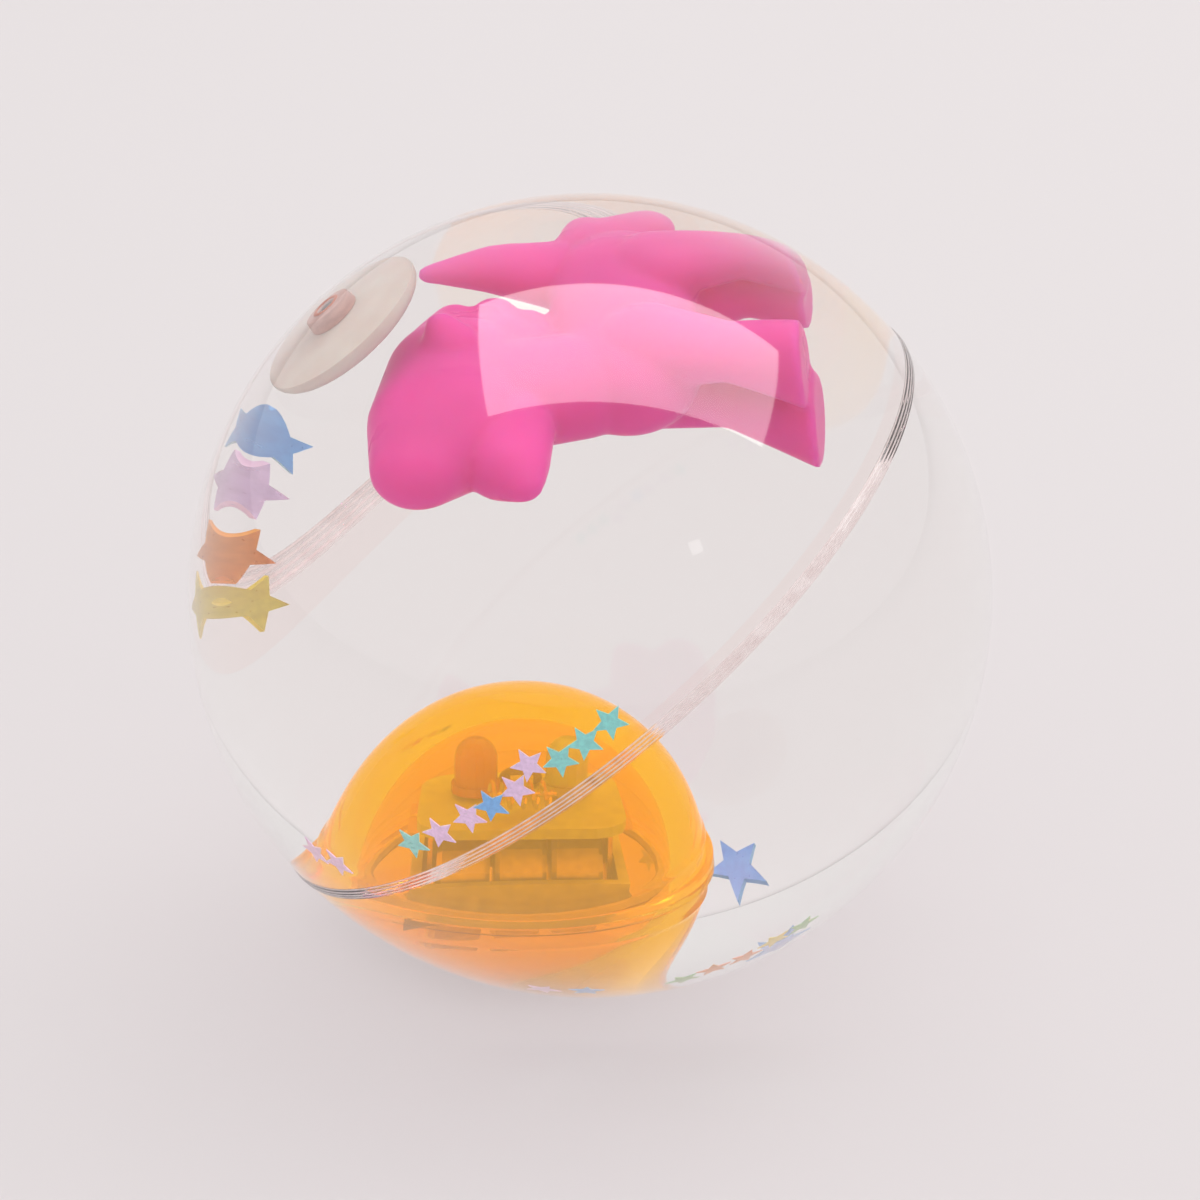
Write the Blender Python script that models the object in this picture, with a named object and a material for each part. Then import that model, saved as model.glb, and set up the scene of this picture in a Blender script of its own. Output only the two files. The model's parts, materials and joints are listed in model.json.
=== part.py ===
"""A water-filled bouncing ball: two welded clear shell halves with a fill valve, holding water, a floating
toy pony, a sealed light-up capsule with its cells and motion switch, and loose star confetti.

Metres, +Z up. The origin is the ball's centre. The ball lies at rest, with its weld seam tilted, the
pony afloat under the top of the shell and the capsule on the bottom.
"""

from math import acos, asin, atan2, cos, hypot, pi, radians, sin, sqrt

import bmesh
import bpy
from mathutils import Matrix, Vector

MM = 0.001

# Ball and shell
BALL_DIAMETER = 75.0 * MM
SHELL_WALL = 3.5 * MM
SEAM_TILT = radians(39.7)
SEAM_SWING = radians(-5.9)
WELD_THICKNESS = 0.9 * MM
WELD_BEAD_PROUD = 0.2 * MM
WELD_LEDGE = 0.6 * MM

# Fill valve
PORT_DIAMETER = 5.0 * MM
PLUG_DOME = 0.15 * MM
PAD_DIAMETER = 15.6 * MM
PAD_THICKNESS = 4.0 * MM
PLUG_RECESS = 0.2 * MM
PIN_DIAMETER = 1.1 * MM
PIN_LENGTH = 2.2 * MM

# Clearances
FIT_GAP = 0.3 * MM
LOOSE_GAP = 0.8 * MM
FILM_GAP = 0.1 * MM
CONTENTS_GAP = 1.78 * MM
CELL_GAP = 0.77 * MM
LED_GAP = 1.25 * MM

# Light capsule, in its own frame: origin in the middle of its rim, +Z up
CAPSULE_WALL = 1.0 * MM
FLANGE_WIDTH = 0.4 * MM
FLANGE_THICKNESS = 0.7 * MM
SEAL_WIRE = 0.7 * MM
CAPSULE_X = -4.4 * MM
CAPSULE_Y = 7.0 * MM

# Electronics inside the capsule
CELL_DIAMETER = 7.9 * MM
CELL_LENGTH = 3.6 * MM
CELL_COUNT = 3
CELL_AXIS_DROP = 0.8 * MM
HOLDER_WALL = 0.7 * MM
HOLDER_DEPTH = 2.4 * MM
CLIP_THICKNESS = 0.3 * MM
CLIP_WIDTH = 5.0 * MM
CLIP_TAB = 1.6 * MM
BOARD_WIDTH = 11.0 * MM
BOARD_THICKNESS = 0.7 * MM
BOARD_CORNER = 2.0 * MM
LED_DIAMETER = 3.0 * MM
LED_HEIGHT = 3.8 * MM
LED_SPACING = 6.4 * MM
LED_OFFSET = 1.2 * MM
LED_FLANGE = 0.6 * MM
CHIP_DIAMETER = 3.2 * MM
CHIP_HEIGHT = 0.8 * MM
CHIP_OFFSET = 3.4 * MM
RESISTOR_LENGTH = 1.6 * MM
RESISTOR_DIAMETER = 1.2 * MM
RESISTOR_OFFSET = 0.6 * MM
SWITCH_LENGTH = 4.6 * MM
SWITCH_COIL_DIAMETER = 2.0 * MM
SWITCH_WIRE = 0.3 * MM
SWITCH_TURNS = 5
SWITCH_OFFSET = -3.3 * MM

# Pony, lying on its side: its back towards -X and its head towards -Y
PONY_X = 1.0 * MM
PONY_Y = 1.3 * MM
PONY_SCALE = 1.0
PONY_FLATNESS = 0.75

# Confetti
STAR_DIAMETER = 3.2 * MM
STAR_THICKNESS = 0.2 * MM
STAR_INNER_SHARE = 0.45
STAR_LAYER = 0.3 * MM
STAR_WALL_GAP = 0.4 * MM

# Fineness
ROUND_STEPS = 40
CAPSULE_STEPS = 28
SMALL_ROUND_STEPS = 16
ARC_STEPS = 9
CAPSULE_ARC_STEPS = 6
PONY_VOXEL = 1.1 * MM
PONY_FACES_KEPT = 0.22

BALL_RADIUS = BALL_DIAMETER / 2
CAVITY_RADIUS = BALL_RADIUS - SHELL_WALL
WELD_HALF = WELD_THICKNESS / 2
WELD_INNER = CAVITY_RADIUS - WELD_LEDGE
STAR_OUTER_RADIUS = CAVITY_RADIUS - STAR_WALL_GAP
WATER_RADIUS = min(WELD_INNER, STAR_OUTER_RADIUS - STAR_LAYER - STAR_THICKNESS) - FIT_GAP
CONTENTS_RADIUS = WATER_RADIUS - FILM_GAP
CELL_PITCH = CELL_LENGTH + FIT_GAP
STACK_LENGTH = CELL_COUNT * CELL_PITCH - FIT_GAP
TROUGH_LENGTH = STACK_LENGTH + 2 * (CLIP_THICKNESS + 2 * FIT_GAP)
HOLDER_LENGTH = TROUGH_LENGTH + 2 * HOLDER_WALL
TROUGH_WIDTH = CELL_DIAMETER + 2 * FIT_GAP
HOLDER_WIDTH = TROUGH_WIDTH + 2 * HOLDER_WALL
BOARD_LENGTH = HOLDER_LENGTH - 2 * FIT_GAP
INNER_RADIUS = hypot(HOLDER_LENGTH, HOLDER_WIDTH) / 2 + CONTENTS_GAP
CAPSULE_RADIUS = INNER_RADIUS + CAPSULE_WALL
CELL_LOWEST = CELL_DIAMETER / 2 + CELL_AXIS_DROP
CUP_DEPTH = CELL_LOWEST / cos(asin(STACK_LENGTH / 2 / INNER_RADIUS)) + CELL_GAP + CAPSULE_WALL
BOARD_BOTTOM = CELL_DIAMETER / 2 - CELL_AXIS_DROP + FIT_GAP + CLIP_THICKNESS
BOARD_TOP = BOARD_BOTTOM + BOARD_THICKNESS
ON_BOARD = BOARD_TOP + FIT_GAP
DOME_HEIGHT = ON_BOARD + LED_HEIGHT + LED_GAP + CAPSULE_WALL

SEAM_FRAME = Matrix.Rotation(SEAM_SWING, 4, "Z") @ Matrix.Rotation(-SEAM_TILT, 4, "Y")


def arc(radius, start, end, steps=ARC_STEPS, height=None):
    """Points (r, z) of an arc, or of an ellipse quarter of the given height, by angle from the +Z pole."""
    height = radius if height is None else height
    turns = [start + (end - start) * step / steps for step in range(steps + 1)]
    return [(radius * sin(turn), height * cos(turn)) for turn in turns]


def capsule_height():
    """The height of the capsule's rim that rests its cup, and its flange, on the confetti film."""
    reach = hypot(CAPSULE_X, CAPSULE_Y)
    outline = arc(CAPSULE_RADIUS, pi / 2, pi, 6 * ARC_STEPS, CUP_DEPTH)
    outline.append((CAPSULE_RADIUS + FLANGE_WIDTH, -FLANGE_THICKNESS))
    return max(-z - sqrt(CONTENTS_RADIUS**2 - (reach + r) ** 2) for r, z in outline)


CAPSULE_PLACE = Vector((CAPSULE_X, CAPSULE_Y, capsule_height()))

COLOURS = {
    "pink": (0.86, 0.10, 0.46),
    "teal": (0.28, 0.72, 0.60),
    "lilac": (0.72, 0.55, 0.72),
    "blue": (0.22, 0.48, 0.82),
    "green": (0.35, 0.72, 0.36),
    "yellow": (0.90, 0.80, 0.25),
    "orange": (0.92, 0.50, 0.15),
}


def clear_scene():
    for old in list(bpy.data.objects):
        bpy.data.objects.remove(old, do_unlink=True)


def material(name, colour, roughness=0.4, metallic=0.0, alpha=1.0, transmission=0.0):
    made = bpy.data.materials.get(name)
    if made:
        return made
    made = bpy.data.materials.new(name)
    made.use_nodes = True
    shader = made.node_tree.nodes["Principled BSDF"]
    shader.inputs["Base Color"].default_value = (*colour, 1.0)
    shader.inputs["Roughness"].default_value = roughness
    shader.inputs["Metallic"].default_value = metallic
    shader.inputs["Alpha"].default_value = alpha
    shader.inputs["Transmission Weight"].default_value = transmission
    return made


def add_object(name, form, finish, place=None, parent=None, smooth=True):
    """A new object of the mesh built in form, placed by a matrix in its parent's frame."""
    bmesh.ops.remove_doubles(form, verts=form.verts, dist=1e-7)
    bmesh.ops.recalc_face_normals(form, faces=form.faces)
    mesh = bpy.data.meshes.new(name)
    form.to_mesh(mesh)
    form.free()
    if smooth:
        mesh.shade_smooth()
        mesh.set_sharp_from_angle(angle=radians(35))
    made = bpy.data.objects.new(name, mesh)
    bpy.context.scene.collection.objects.link(made)
    made.parent = parent
    made.matrix_basis = place or Matrix.Identity(4)
    if finish:
        mesh.materials.append(finish)
    return made


def as_cutter(made):
    made.hide_render = True
    made.display_type = "WIRE"
    return made


def cut(target, cutter, operation="DIFFERENCE"):
    boolean = target.modifiers.new(cutter.name, "BOOLEAN")
    boolean.operation = operation
    boolean.object = cutter
    boolean.solver = "EXACT"


def turned(profile, steps=ROUND_STEPS):
    """A solid turned about Z from a closed outline of (r, z) points, which may start and end on the axis."""
    form = bmesh.new()
    rings = []
    for r, z in profile:
        if r < 1e-8:
            rings.append([form.verts.new((0, 0, z))])
        else:
            angles = [2 * pi * step / steps for step in range(steps)]
            rings.append([form.verts.new((r * cos(a), r * sin(a), z)) for a in angles])
    for first, second in zip(rings, rings[1:] + rings[:1]):
        join_rings(form, first, second, steps)
    return form


def join_rings(form, first, second, steps):
    if len(first) == 1 and len(second) == 1:
        return
    for step in range(steps):
        after = (step + 1) % steps
        corners = [first[step % len(first)], first[after % len(first)]]
        corners += [second[after % len(second)], second[step % len(second)]]
        form.faces.new(list(dict.fromkeys(corners)))


def block(size, centre):
    form = bmesh.new()
    bmesh.ops.create_cube(form, size=1.0, matrix=Matrix.Translation(centre) @ Matrix.Diagonal((*size, 1)))
    return form


def rod(radius, start, end, steps=SMALL_ROUND_STEPS):
    """A round bar between two points."""
    form = bmesh.new()
    along = Vector(end) - Vector(start)
    turn = along.to_track_quat("Z", "Y").to_matrix().to_4x4()
    bmesh.ops.create_cone(
        form,
        cap_ends=True,
        segments=steps,
        radius1=radius,
        radius2=radius,
        depth=along.length,
        matrix=Matrix.Translation((Vector(start) + Vector(end)) / 2) @ turn,
    )
    return form


# Shell


def shell_finish():
    return material("clear_soft_plastic", (0.96, 0.95, 0.94), roughness=0.05, alpha=0.25, transmission=1.0)


def make_port_shell():
    """The shell half that holds the fill port, in the seam's frame."""
    port = PORT_DIAMETER / 2
    edge = WELD_HALF + FIT_GAP
    outer = arc(BALL_RADIUS, asin(port / BALL_RADIUS), acos(edge / BALL_RADIUS))
    inner = arc(CAVITY_RADIUS, acos(edge / CAVITY_RADIUS), asin(port / CAVITY_RADIUS))
    add_object("port_shell", turned(outer + inner), shell_finish(), SEAM_FRAME)


def make_plain_shell():
    edge = WELD_HALF + FIT_GAP
    outer = arc(BALL_RADIUS, pi, acos(-edge / BALL_RADIUS))
    inner = arc(CAVITY_RADIUS, acos(-edge / CAVITY_RADIUS), pi)
    add_object("plain_shell", turned(outer + inner), shell_finish(), SEAM_FRAME)


def make_seam_weld():
    """The weld bead between the halves: proud of the outside, with a ledge on the inside."""
    crown = BALL_RADIUS + WELD_BEAD_PROUD
    profile = [
        (WELD_INNER, -WELD_HALF * 0.6),
        (WELD_INNER + WELD_LEDGE * 0.4, -WELD_HALF),
        (BALL_RADIUS, -WELD_HALF),
        (crown, -WELD_HALF * 0.4),
        (crown, WELD_HALF * 0.4),
        (BALL_RADIUS, WELD_HALF),
        (WELD_INNER + WELD_LEDGE * 0.4, WELD_HALF),
        (WELD_INNER, WELD_HALF * 0.6),
    ]
    finish = material("weld_bead", (0.90, 0.82, 0.80), roughness=0.15, alpha=0.5, transmission=1.0)
    add_object("seam_weld", turned(profile), finish, SEAM_FRAME)


# Fill valve, on the port half's pole


def pad_profile(grow=0.0):
    """The pad's outline: it follows the cavity's wall above and is bevelled below."""
    top = CAVITY_RADIUS - FIT_GAP + grow
    rim = PAD_DIAMETER / 2 + grow
    bottom = top - PAD_THICKNESS - 2 * grow
    crown = arc(top, 0.0, asin(rim / top), steps=3)
    edge = crown[-1][1]
    side = edge - PAD_THICKNESS * 0.45 - grow
    return crown + [(rim, side), (rim * 0.9, (side + bottom) / 2), (rim * 0.72, bottom), (0.0, bottom)]


def make_valve_pad():
    finish = material("self_sealing_pad", (0.80, 0.62, 0.52), roughness=0.35, alpha=0.8, transmission=0.4)
    add_object("valve_pad", turned(pad_profile(), CAPSULE_STEPS), finish, SEAM_FRAME)


def make_valve_plug():
    """The plug that closes the shell's port, with a blind hole for the seal pin."""
    radius = PORT_DIAMETER / 2 - FIT_GAP
    hole = PIN_DIAMETER / 2 + FIT_GAP
    rim = BALL_RADIUS - PLUG_RECESS
    hole_bottom = rim - PIN_LENGTH - FIT_GAP
    profile = [(0.0, hole_bottom), (hole, hole_bottom), (hole, rim + PLUG_DOME)]
    profile += [(radius * 0.75, rim + PLUG_DOME), (radius, rim - PLUG_DOME)]
    profile += [(radius, CAVITY_RADIUS), (0.0, CAVITY_RADIUS)]
    finish = material("valve_plug", (0.62, 0.30, 0.24), roughness=0.35)
    add_object("valve_plug", turned(profile, SMALL_ROUND_STEPS), finish, SEAM_FRAME)


def make_seal_pin():
    top = BALL_RADIUS - PLUG_RECESS
    finish = material("seal_pin", (0.12, 0.06, 0.06), roughness=0.4)
    form = rod(PIN_DIAMETER / 2, (0, 0, top - PIN_LENGTH), (0, 0, top), steps=12)
    add_object("seal_pin", form, finish, SEAM_FRAME)


# Pony


# (forward, up, side, radius) at both ends of each limb, in mm before scaling
BODY_LIMBS = (
    ((-8.5, -1.5, 0, 5.4), (2.6, -1.8, 0, 5.6)),  # barrel
    ((4.0, 2.0, 0, 5.0), (5.5, 8.5, 0, 5.4)),  # neck
    ((2.4, 11.0, 0, 5.8), (9.0, 12.0, 0, 6.7)),  # skull
    ((9.0, 12.0, 0, 6.7), (15.2, 14.7, 0, 4.2)),  # brow
    ((10.0, 8.4, 0, 4.8), (15.2, 7.6, 0, 3.5)),  # muzzle
    ((15.2, 7.6, 0, 3.5), (18.0, 6.4, 0, 1.8)),
    ((3.0, 11.8, 3.6, 2.4), (1.8, 12.8, 5.2, 1.2)),  # ears
    ((3.0, 11.8, -3.6, 2.4), (1.8, 12.8, -5.2, 1.2)),
    ((-0.4, 11.0, 0, 4.2), (-4.6, 11.0, 0, 1.8)),  # mane, in three waves
    ((-0.4, 8.4, 0, 4.2), (-5.2, 8.0, 0, 1.8)),
    ((0.6, 6.4, 0, 3.8), (-4.2, 5.5, 0, 1.4)),
    ((-10.0, 2.5, 0, 3.2), (-11.0, 7.8, 0, 2.2)),  # upper tail
    ((-11.0, 7.8, 0, 2.2), (-10.8, 12.6, 0, 0.9)),
    ((-10.5, 4.0, 0, 2.4), (-12.4, 6.6, 0, 1.2)),
    ((-12.4, 0.5, 0, 3.2), (-14.5, 1.2, 0, 1.8)),  # lower tail
    ((-13.2, -0.5, 0, 2.8), (-15.2, -3.1, 0, 2.0)),
)
# (forward, up, side, radius) at the hip, the ankle and the flat hoof of each leg
LEGS = (
    ((1.5, -3.5, 2.2, 4.2), (3.3, -9.8, 3.2, 3.0), (4.2, -16.2, 3.2, 4.0)),
    ((1.0, -3.5, -2.2, 3.8), (0.8, -9.8, -3.2, 2.7), (3.3, -16.6, -3.2, 4.0)),
    ((-8.6, -4.0, 2.6, 3.4), (-10.0, -10.0, 3.2, 2.6), (-10.2, -15.4, 3.2, 3.2)),
    ((-8.8, -4.0, -1.6, 3.8), (-10.0, -10.0, -0.8, 2.6), (-10.2, -14.9, -0.8, 3.2)),
)


def pony_point(forward, up, side):
    """A point of the pony, in mm, about its middle: its back is towards -X and its head towards -Y."""
    return Vector((-up, -forward, side)) * MM * PONY_SCALE


def add_limb(form, start, end, flat_end=False):
    """A tapered round limb between (forward, up, side, radius) points, in mm; flat_end makes a hoof."""
    limb = bmesh.new()
    flatten = Matrix.Diagonal((1.0, 1.0, PONY_FLATNESS, 1.0))
    ends = [(pony_point(*point[:3]), point[3] * MM * PONY_SCALE) for point in (start, end)]
    (first, first_radius), (last, last_radius) = ends
    ball = Matrix.Translation(first) @ flatten
    bmesh.ops.create_icosphere(limb, subdivisions=2, radius=first_radius, matrix=ball)
    ball = Matrix.Translation(last) @ flatten
    if flat_end:
        sole = ball @ Matrix.Rotation(pi / 2, 4, "Y")
        bmesh.ops.create_circle(limb, segments=SMALL_ROUND_STEPS, radius=last_radius, matrix=sole)
    else:
        bmesh.ops.create_icosphere(limb, subdivisions=2, radius=last_radius, matrix=ball)
    hull = bmesh.ops.convex_hull(limb, input=limb.verts)
    spare = [v for v in hull["geom_interior"] + hull["geom_unused"] if isinstance(v, bmesh.types.BMVert)]
    bmesh.ops.delete(limb, geom=list(dict.fromkeys(spare)), context="VERTS")
    mesh = bpy.data.meshes.new("limb")
    limb.to_mesh(mesh)
    limb.free()
    form.from_mesh(mesh)
    bpy.data.meshes.remove(mesh)


def pony_form():
    """The pony's overlapping limbs, afloat against the pad or the film; a voxel remesh makes them one body."""
    form = bmesh.new()
    for start, end in BODY_LIMBS:
        add_limb(form, start, end)
    for hip, ankle, hoof in LEGS:
        add_limb(form, hip, ankle)
        add_limb(form, ankle, hoof, flat_end=True)
    bmesh.ops.translate(form, verts=form.verts, vec=(PONY_X, PONY_Y, 0))
    to_film = min(sqrt(CONTENTS_RADIUS**2 - v.co.x**2 - v.co.y**2) - v.co.z for v in form.verts)
    pole = SEAM_FRAME.col[2].xyz
    pad_face = CAVITY_RADIUS - 2 * FIT_GAP - PAD_THICKNESS
    to_pad = min((pad_face - v.co.dot(pole)) / pole.z for v in form.verts)
    bmesh.ops.translate(form, verts=form.verts, vec=(0, 0, min(to_film, to_pad)))
    return form


def make_pony():
    made = add_object("pony", pony_form(), material("pony_plastic", COLOURS["pink"], 0.3, transmission=0.3))
    blend_limbs(made)


def blend_limbs(made, grow=0.0):
    remesh = made.modifiers.new("one_body", "REMESH")
    remesh.mode = "VOXEL"
    remesh.voxel_size = PONY_VOXEL
    if grow:
        swell = made.modifiers.new("swell", "DISPLACE")
        swell.strength = grow
        swell.mid_level = 0.0
    thin = made.modifiers.new("fewer_faces", "DECIMATE")
    thin.ratio = PONY_FACES_KEPT


# Water


def capsule_profile(grow=0.0):
    """The whole capsule's outline, with its flange, larger by grow."""
    radius = CAPSULE_RADIUS + grow
    flange = CAPSULE_RADIUS + FLANGE_WIDTH + grow
    half = FLANGE_THICKNESS / 2 + FIT_GAP + grow
    over = asin(min(1.0, half / (DOME_HEIGHT + grow)))
    under = asin(min(1.0, half / (CUP_DEPTH + grow)))
    dome = arc(radius, 0.0, pi / 2 - over, CAPSULE_ARC_STEPS, DOME_HEIGHT + grow)
    cup = arc(radius, pi / 2 + under, pi, CAPSULE_ARC_STEPS, CUP_DEPTH + grow)
    return dome + [(flange, half), (flange, -half)] + cup


def make_water():
    """The water, with the hollows that the pad, the pony and the capsule take up."""
    finish = material("water", (0.97, 0.98, 0.98), roughness=0.0, alpha=0.15, transmission=1.0)
    form = bmesh.new()
    bmesh.ops.create_uvsphere(form, u_segments=ROUND_STEPS, v_segments=ROUND_STEPS // 2, radius=WATER_RADIUS)
    water = add_object("water_fill", form, finish)
    hollow = turned(pad_profile(FIT_GAP), CAPSULE_STEPS)
    cut(water, as_cutter(add_object("pad_hollow", hollow, None, SEAM_FRAME)))
    hollow = turned(capsule_profile(FIT_GAP), CAPSULE_STEPS)
    place = Matrix.Translation(CAPSULE_PLACE)
    cut(water, as_cutter(add_object("capsule_hollow", hollow, None, place)))
    pony_hollow = as_cutter(add_object("pony_hollow", pony_form(), None))
    blend_limbs(pony_hollow, grow=LOOSE_GAP)
    cut(water, pony_hollow)


# Light capsule


def capsule_pivot():
    """An empty at the ball's centre: the capsule rolls round the inside of the ball about it."""
    pivot = bpy.data.objects.new("capsule_pivot", None)
    bpy.context.scene.collection.objects.link(pivot)
    pivot.rotation_euler = (0, 0, atan2(CAPSULE_Y, CAPSULE_X))
    return pivot


def in_capsule():
    """The matrix that puts a piece of the capsule's own frame in place under its pivot."""
    turn = Matrix.Rotation(-atan2(CAPSULE_Y, CAPSULE_X), 4, "Z")
    return turn @ Matrix.Translation(CAPSULE_PLACE)


def half_shell(height, lip):
    """The outline of one capsule half, dome or cup by the sign of height, ending in a flanged rim."""
    sign = 1 if height > 0 else -1
    depth = abs(height)
    inside = depth - CAPSULE_WALL
    outer = arc(CAPSULE_RADIUS, 0.0, pi / 2 - asin(lip[1] / depth), CAPSULE_ARC_STEPS, depth)
    inner = arc(INNER_RADIUS, pi / 2 - asin(lip[0] / inside), 0.0, CAPSULE_ARC_STEPS, inside)
    flange = CAPSULE_RADIUS + FLANGE_WIDTH
    outline = outer + [(flange, lip[1]), (flange, lip[0])] + inner
    return [(r, sign * z) for r, z in outline]


def make_capsule_shells(pivot, place):
    lip = (FIT_GAP / 2, FIT_GAP / 2 + FLANGE_THICKNESS / 2)
    amber = material("amber_dome", (1.0, 0.50, 0.03), roughness=0.1, alpha=0.6, transmission=0.7)
    add_object("capsule_dome", turned(half_shell(DOME_HEIGHT, lip), CAPSULE_STEPS), amber, place, pivot)
    cup = material("amber_cup", (1.0, 0.42, 0.02), roughness=0.1, alpha=0.6, transmission=0.8)
    add_object("capsule_cup", turned(half_shell(-CUP_DEPTH, lip), CAPSULE_STEPS), cup, place, pivot)


def make_seal_ring(pivot, place):
    """The soft ring inside the capsule's rim."""
    middle = INNER_RADIUS - FIT_GAP - SEAL_WIRE / 2
    section = [(middle + SEAL_WIRE / 2 * cos(a), SEAL_WIRE / 2 * sin(a)) for a in spaced(6)]
    finish = material("seal_rubber", (0.85, 0.55, 0.20), roughness=0.5)
    add_object("capsule_seal_ring", turned(section, CAPSULE_STEPS), finish, place, pivot)


def spaced(count):
    return [2 * pi * step / count for step in range(count)]


def make_cells(pivot, place):
    finish = material("cell_steel", (0.62, 0.62, 0.60), roughness=0.25, metallic=1.0)
    chamfer = 0.35 * MM
    radius = CELL_DIAMETER / 2
    half = CELL_LENGTH / 2
    profile = [(0.0, half), (radius * 0.72, half), (radius * 0.72, half - chamfer), (radius, half - chamfer)]
    profile += [(radius, -half + chamfer), (radius - chamfer, -half), (0.0, -half)]
    lie = Matrix.Rotation(pi / 2, 4, "Y")
    for number in range(CELL_COUNT):
        along = (number - (CELL_COUNT - 1) / 2) * CELL_PITCH
        spot = place @ Matrix.Translation((along, 0, -CELL_AXIS_DROP)) @ lie
        add_object(f"button_cell_{number + 1}", turned(profile, SMALL_ROUND_STEPS), finish, spot, pivot)


def make_battery_holder(pivot, place):
    """A cradle whose trough fits round the cells, open above and below."""
    middle = (0, 0, -CELL_AXIS_DROP)
    form = block((HOLDER_LENGTH, HOLDER_WIDTH, HOLDER_DEPTH), middle)
    finish = material("holder_plastic", (0.08, 0.06, 0.05), roughness=0.5)
    holder = add_object("battery_holder", form, finish, place, pivot, smooth=False)
    cutter = block((TROUGH_LENGTH, TROUGH_WIDTH, 3 * HOLDER_DEPTH), middle)
    cut(holder, as_cutter(add_object("cell_space", cutter, None, place, pivot, smooth=False)))


def make_battery_clip(pivot, place, name, side):
    """A springy end contact: a plate against the end cell, with a tab folded out over the holder."""
    finish = material("clip_brass", (0.85, 0.68, 0.35), roughness=0.25, metallic=1.0)
    plate_x = STACK_LENGTH / 2 + FIT_GAP
    low = -CELL_AXIS_DROP - CELL_DIAMETER * 0.36
    high = BOARD_BOTTOM - FIT_GAP
    outline = [
        (plate_x, low),
        (plate_x + CLIP_THICKNESS, low),
        (plate_x + CLIP_THICKNESS, high - CLIP_THICKNESS),
        (plate_x + CLIP_TAB, high - CLIP_THICKNESS),
        (plate_x + CLIP_TAB, high),
        (plate_x, high),
    ]
    form = bmesh.new()
    corners = [form.verts.new((side * x, -CLIP_WIDTH / 2, z)) for x, z in outline]
    face = form.faces.new(corners)
    grown = bmesh.ops.extrude_face_region(form, geom=[face])
    moved = [v for v in grown["geom"] if isinstance(v, bmesh.types.BMVert)]
    bmesh.ops.translate(form, verts=moved, vec=(0, CLIP_WIDTH, 0))
    add_object(name, form, finish, place, pivot, smooth=False)


def make_circuit_board(pivot, place):
    form = block((BOARD_LENGTH, BOARD_WIDTH, BOARD_THICKNESS), (0, 0, (BOARD_BOTTOM + BOARD_TOP) / 2))
    corners = [e for e in form.edges if abs(e.verts[0].co.z - e.verts[1].co.z) > BOARD_THICKNESS / 2]
    bmesh.ops.bevel(form, geom=corners, offset=BOARD_CORNER, segments=3, affect="EDGES", profile=0.5)
    finish = material("board_green", (0.10, 0.30, 0.12), roughness=0.45)
    add_object("circuit_board", form, finish, place, pivot, smooth=False)


def make_led(pivot, place, name, side, colour):
    """A 3 mm lamp: a flanged round body with a domed lens."""
    radius = LED_DIAMETER / 2
    body = LED_HEIGHT - radius
    profile = [(0.0, LED_HEIGHT)] + arc(radius, radians(22), pi / 2, steps=4)
    profile = [(r, z + body) if index else (r, z) for index, (r, z) in enumerate(profile)]
    profile += [(radius, LED_FLANGE), (radius * 1.15, LED_FLANGE), (radius * 1.15, 0.0), (0.0, 0.0)]
    spot = place @ Matrix.Translation((side * LED_SPACING / 2, LED_OFFSET, ON_BOARD))
    finish = material(name, colour, roughness=0.1, alpha=0.7, transmission=0.6)
    add_object(name, turned(profile, SMALL_ROUND_STEPS), finish, spot, pivot)


def make_driver_chip(pivot, place):
    """The blob of resin over the flasher chip."""
    radius = CHIP_DIAMETER / 2
    profile = arc(radius, 0.0, pi / 2, steps=4, height=CHIP_HEIGHT) + [(0.0, 0.0)]
    spot = place @ Matrix.Translation((0, CHIP_OFFSET, ON_BOARD))
    finish = material("chip_resin", (0.02, 0.02, 0.02), roughness=0.35)
    add_object("driver_chip", turned(profile, SMALL_ROUND_STEPS), finish, spot, pivot)


def make_resistor(pivot, place):
    radius = RESISTOR_DIAMETER / 2
    half = Vector((RESISTOR_LENGTH / 2, 0, 0))
    spot = Vector((0, RESISTOR_OFFSET, ON_BOARD + radius))
    finish = material("resistor_tan", (0.72, 0.55, 0.35), roughness=0.5)
    form = rod(radius, spot - half, spot + half, steps=12)
    add_object("resistor", form, finish, place, pivot)


def switch_axis():
    """The middle of the motion switch's root, in the capsule's frame."""
    return Vector((-SWITCH_LENGTH / 2, SWITCH_OFFSET, ON_BOARD + SWITCH_COIL_DIAMETER / 2 + SWITCH_WIRE))


def make_motion_switch(pivot, place):
    """A straight pin inside a loose coil: a knock sways the coil against the pin and starts the lamps."""
    root = switch_axis()
    steel = material("switch_steel", (0.75, 0.74, 0.70), roughness=0.2, metallic=1.0)
    pin = rod(SWITCH_WIRE / 2, root, root + Vector((SWITCH_LENGTH, 0, 0)), steps=8)
    add_object("switch_pin", pin, steel, place, pivot)
    coil = bpy.data.curves.new("switch_spring", "CURVE")
    coil.dimensions = "3D"
    coil.bevel_depth = SWITCH_WIRE / 2
    coil.bevel_resolution = 1
    coil.use_fill_caps = True
    line = coil.splines.new("POLY")
    count = SWITCH_TURNS * 10 + 1
    line.points.add(count - 1)
    radius = SWITCH_COIL_DIAMETER / 2 - SWITCH_WIRE / 2
    for index, point in enumerate(line.points):
        share = index / (count - 1)
        turn = 2 * pi * SWITCH_TURNS * share
        point.co = (share * (SWITCH_LENGTH - SWITCH_WIRE), radius * cos(turn), radius * sin(turn), 1.0)
    coil.materials.append(steel)
    spring = bpy.data.objects.new("switch_spring", coil)
    bpy.context.scene.collection.objects.link(spring)
    spring.parent = pivot
    spring.matrix_basis = place @ Matrix.Translation(root)


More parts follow.
